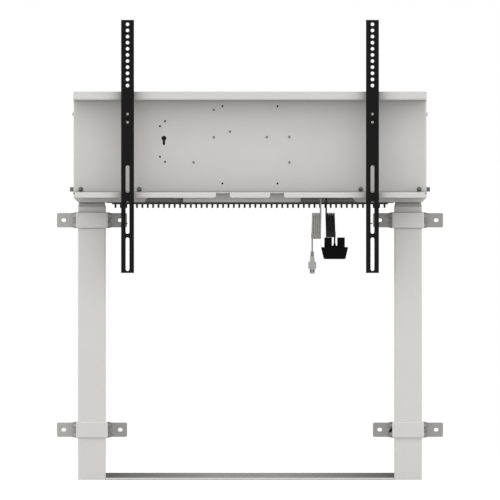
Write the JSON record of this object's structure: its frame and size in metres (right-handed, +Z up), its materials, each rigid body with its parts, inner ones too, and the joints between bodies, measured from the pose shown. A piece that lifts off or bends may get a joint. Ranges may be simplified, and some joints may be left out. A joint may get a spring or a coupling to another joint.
{
  "type": "motorized display lift",
  "caption": "Wall lift with telescopic columns, a folded-sheet housing, hook-on display bars, spindle drives and a corded hand switch.",
  "frame": {"origin": "on the floor, in the middle of the object's width and of its depth, with the lift fully down", "axes": "+Z up, +Y towards the wall, +X to the right as seen from the display's side"},
  "size_m": [0.948, 0.1474, 1.1275],
  "materials": {
    "column_paint": "fine satin powder coat",
    "collar_plastic": "moulded, fine grain",
    "stand_steel": "zinc plated",
    "nut_plastic": "moulded acetal",
    "tray_paint": "fine satin powder coat",
    "plated_steel": "zinc plated",
    "clamp_paint": "fine satin powder coat",
    "housing_paint": "fine satin powder coat",
    "rivet_aluminium": "satin",
    "black_screw": "black zinc",
    "bracket_steel": "zinc plated",
    "shoe_plastic": "moulded",
    "bearing_steel": "ground",
    "gearbox_casting": "die cast",
    "motor_paint": "satin black",
    "box_plastic": "moulded, fine grain",
    "inlet_plastic": "moulded",
    "comb_plastic": "moulded",
    "relief_rubber": "matt",
    "grey_cable": "soft PVC",
    "plug_plastic": "moulded PVC, plated shell",
    "black_cable": "soft PVC",
    "switch_plastic": "moulded, fine grain",
    "button_plastic": "moulded",
    "spindle_steel": "rolled thread",
    "bar_paint": "satin black powder coat",
    "catch_steel": "black zinc"
  },
  "bodies": {
    "base": {"outer_tube_left": "column_paint", "outer_tube_right": "column_paint", "guide_collar_left": "collar_plastic", "guide_collar_right": "collar_plastic", "nut_stand_left": "stand_steel", "nut_stand_right": "stand_steel", "spindle_nut_left": "nut_plastic", "spindle_nut_right": "nut_plastic", "floor_tray": "tray_paint", "wall_plate_upper_left": "plated_steel", "wall_plate_upper_right": "plated_steel", "wall_plate_lower_left": "plated_steel", "wall_plate_lower_right": "plated_steel", "clamp_upper_left": "clamp_paint", "clamp_upper_right": "clamp_paint", "clamp_lower_left": "clamp_paint", "clamp_lower_right": "clamp_paint"},
    "carriage": {"back_plate": "housing_paint", "lower_rail": "housing_paint", "top_cover": "housing_paint", "rear_cover": "housing_paint", "cover_rivets": "rivet_aluminium", "housing_screws": "black_screw", "head_bracket_left": "bracket_steel", "head_bracket_right": "bracket_steel", "inner_tube_left": "column_paint", "inner_tube_right": "column_paint", "tube_shoe_left": "shoe_plastic", "tube_shoe_right": "shoe_plastic", "spindle_bearing_left": "bearing_steel", "spindle_bearing_right": "bearing_steel", "gearbox_left": "gearbox_casting", "gearbox_right": "gearbox_casting", "motor_left": "motor_paint", "motor_right": "motor_paint", "control_box": "box_plastic", "power_supply": "box_plastic", "mains_inlet": "inlet_plastic", "cable_comb": "comb_plastic", "cable_reliefs": "relief_rubber", "usb_cable_feed": "grey_cable", "usb_cable_hank": "grey_cable", "usb_cable_tail": "grey_cable", "usb_plug": "plug_plastic", "hand_cable_feed": "black_cable", "hand_cable_hank": "black_cable", "hand_cable_tail": "black_cable", "switch_case": "switch_plastic", "switch_base": "switch_plastic"},
    "spindle_left": {"spindle_left": "spindle_steel"},
    "spindle_right": {"spindle_right": "spindle_steel"},
    "bar_left": {"bar_left": "bar_paint", "catch_rivets_left": "plated_steel"},
    "bar_right": {"bar_right": "bar_paint", "catch_rivets_right": "plated_steel"},
    "catch_left": {"bar_catch_left": "catch_steel"},
    "catch_right": {"bar_catch_right": "catch_steel"},
    "button_up": {"button_up": "button_plastic"},
    "button_down": {"button_down": "button_plastic"}
  },
  "joints": [
    {"name": "lift", "type": "slide", "parent": "base", "child": "carriage", "axis": [0, 0, 1], "range_m": [0, 0.5]},
    {"name": "spindle_left_turn", "type": "hinge", "parent": "carriage", "child": "spindle_left", "pos_m": [-0.388, 0.03675, 0.4], "axis": [0, 0, 1], "range_deg": [0, 18000]},
    {"name": "spindle_right_turn", "type": "hinge", "parent": "carriage", "child": "spindle_right", "pos_m": [0.388, 0.03675, 0.4], "axis": [0, 0, 1], "range_deg": [0, 18000]},
    {"name": "bar_left_slide", "type": "slide", "parent": "carriage", "child": "bar_left", "axis": [1, 0, 0], "range_m": [-0.1, 0.2]},
    {"name": "catch_left_release", "type": "slide", "parent": "bar_left", "child": "catch_left", "axis": [0, 0, 1], "range_m": [-0.014, 0]},
    {"name": "bar_right_slide", "type": "slide", "parent": "carriage", "child": "bar_right", "axis": [1, 0, 0], "range_m": [-0.2, 0.1]},
    {"name": "catch_right_release", "type": "slide", "parent": "bar_right", "child": "catch_right", "axis": [0, 0, 1], "range_m": [-0.014, 0]},
    {"name": "button_up_press", "type": "slide", "parent": "carriage", "child": "button_up", "axis": [0, 0, 1], "range_m": [0, 0.001], "stiffness_N_per_m": 600, "springref_m": -0.001},
    {"name": "button_down_press", "type": "slide", "parent": "carriage", "child": "button_down", "axis": [0, 0, 1], "range_m": [0, 0.001], "stiffness_N_per_m": 600, "springref_m": -0.001}
  ],
  "couplings": [
    {"joint": "spindle_left_turn", "follows": "lift", "rad_per_m": 628.3},
    {"joint": "spindle_right_turn", "follows": "lift", "rad_per_m": 628.3}
  ]
}
